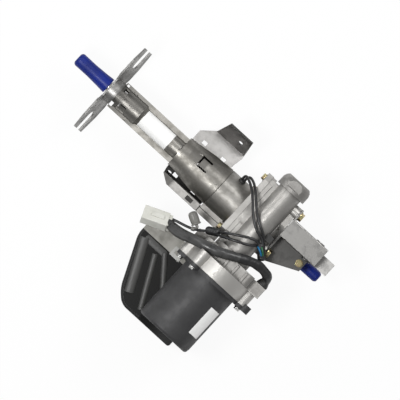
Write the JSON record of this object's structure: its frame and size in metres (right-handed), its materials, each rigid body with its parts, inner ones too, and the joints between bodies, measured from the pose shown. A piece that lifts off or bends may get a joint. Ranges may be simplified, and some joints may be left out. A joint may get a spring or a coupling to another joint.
{
  "type": "steering column",
  "caption": "Electric power steering column: telescoping steel jacket, torque sensor, worm gear, side motor with control unit, brackets and harness.",
  "frame": {"origin": "where the column's axis crosses the upper mounting plate", "axes": "+X down the column to the output shaft, +Y away from the motor along the worm's axis, +Z out of the side that carries the worm and motor"},
  "size_m": [0.4945, 0.3164, 0.1635],
  "materials": {
    "cast_aluminium": "cast, slightly rough, warm grey",
    "gold_zinc": "yellow passivated zinc",
    "spring_steel": "oiled spring steel",
    "bearing_steel": "ground and polished",
    "black_rubber": "matt black",
    "motor_black": "satin black paint",
    "bright_zinc": "bright zinc",
    "lamination_steel": "stacked laminations",
    "copper_wire": "enamelled copper",
    "gloss_black": "glossy black moulding",
    "board_green": "circuit board",
    "jacket_steel": "bare steel with brown tint",
    "white_nylon": "off-white nylon",
    "bracket_steel": "bare pressed sheet",
    "plate_steel": "zinc plated sheet",
    "cable_sleeve": "satin black sleeve",
    "lead_sleeve": "satin black sleeve",
    "grey_nylon": "light grey nylon",
    "black_tape": "wrapped cloth tape",
    "shaft_steel": "machined steel",
    "gear_nylon": "natural nylon",
    "blue_cap": "royal blue soft plastic"
  },
  "bodies": {
    "root": {"gear_cover": "cast_aluminium", "housing_bolts": "gold_zinc", "gear_housing": "cast_aluminium", "worm_end_cap": "cast_aluminium", "preload_spring": "spring_steel", "bearing_outers": "bearing_steel", "shaft_seal": "black_rubber", "adaptor": "cast_aluminium", "motor_flange": "motor_black", "motor_can": "motor_black", "motor_bolts": "bright_zinc", "motor_stator": "lamination_steel", "motor_windings": "copper_wire", "unit_cover": "gloss_black", "unit_base": "cast_aluminium", "unit_board": "board_green", "unit_clamp": "bright_zinc", "lower_jacket": "jacket_steel", "slide_guides": "white_nylon", "right_ear": "bracket_steel", "left_ear": "bracket_steel", "side_rail": "bracket_steel", "sensor_housing": "jacket_steel", "sensor_coil": "copper_wire", "sensor_board": "board_green", "lower_bracket": "plate_steel", "rubber_plugs": "black_rubber", "power_cable": "cable_sleeve", "sensor_lead": "lead_sleeve", "second_sensor_lead": "lead_sleeve", "control_lead": "lead_sleeve", "second_control_lead": "lead_sleeve", "branch_lead": "lead_sleeve", "power_gland": "black_rubber", "power_connector": "white_nylon", "harness_clip": "grey_nylon", "taped_joints": "black_tape"},
    "upper_column": {"upper_jacket_front": "jacket_steel", "upper_jacket_rear": "jacket_steel", "upper_plate": "plate_steel", "upper_bearing_outer": "bearing_steel"},
    "output_train": {"output_shaft": "shaft_steel", "torsion_bar": "spring_steel", "worm_wheel_hub": "shaft_steel", "worm_wheel_rim": "gear_nylon", "output_bearing_inners": "bearing_steel", "sensor_output_ring": "shaft_steel"},
    "worm_train": {"worm_shaft": "shaft_steel", "drive_bearing_inners": "bearing_steel", "coupling_hubs": "shaft_steel", "coupling_spider": "black_rubber", "motor_rotor": "lamination_steel", "motor_shaft": "shaft_steel"},
    "input_train": {"input_shaft": "shaft_steel", "input_pin": "shaft_steel", "sensor_input_ring": "shaft_steel"},
    "upper_rod": {"upper_shaft": "shaft_steel", "upper_bearing_inner": "bearing_steel"},
    "top_cap": {"upper_cap": "blue_cap"},
    "bottom_cap": {"lower_cap": "blue_cap"}
  },
  "joints": [
    {"name": "column_collapse", "type": "slide", "parent": "root", "child": "upper_column", "axis": [1, 0, 0], "range_m": [0, 0.05]},
    {"name": "output_spin", "type": "hinge", "parent": "root", "child": "output_train", "pos_m": [0, 0, 0], "axis": [1, 0, 0], "continuous": true},
    {"name": "worm_spin", "type": "hinge", "parent": "root", "child": "worm_train", "pos_m": [0.299, 0, 0.04601], "axis": [0, 1, 0], "continuous": true},
    {"name": "torsion_twist", "type": "hinge", "parent": "output_train", "child": "input_train", "pos_m": [0, 0, 0], "axis": [1, 0, 0], "range_deg": [-5, 5], "stiffness_Nm_per_rad": 115},
    {"name": "shaft_telescope", "type": "slide", "parent": "input_train", "child": "upper_rod", "axis": [1, 0, 0], "range_m": [0, 0.05]},
    {"name": "top_cap_pull", "type": "slide", "parent": "upper_rod", "child": "top_cap", "axis": [-1, 0, 0], "range_m": [0, 0.055]},
    {"name": "bottom_cap_pull", "type": "slide", "parent": "output_train", "child": "bottom_cap", "axis": [1, 0, 0], "range_m": [0, 0.04]}
  ],
  "couplings": [
    {"joint": "worm_spin", "follows": "output_spin", "ratio": 20.5},
    {"joint": "shaft_telescope", "follows": "column_collapse", "ratio": 1}
  ]
}
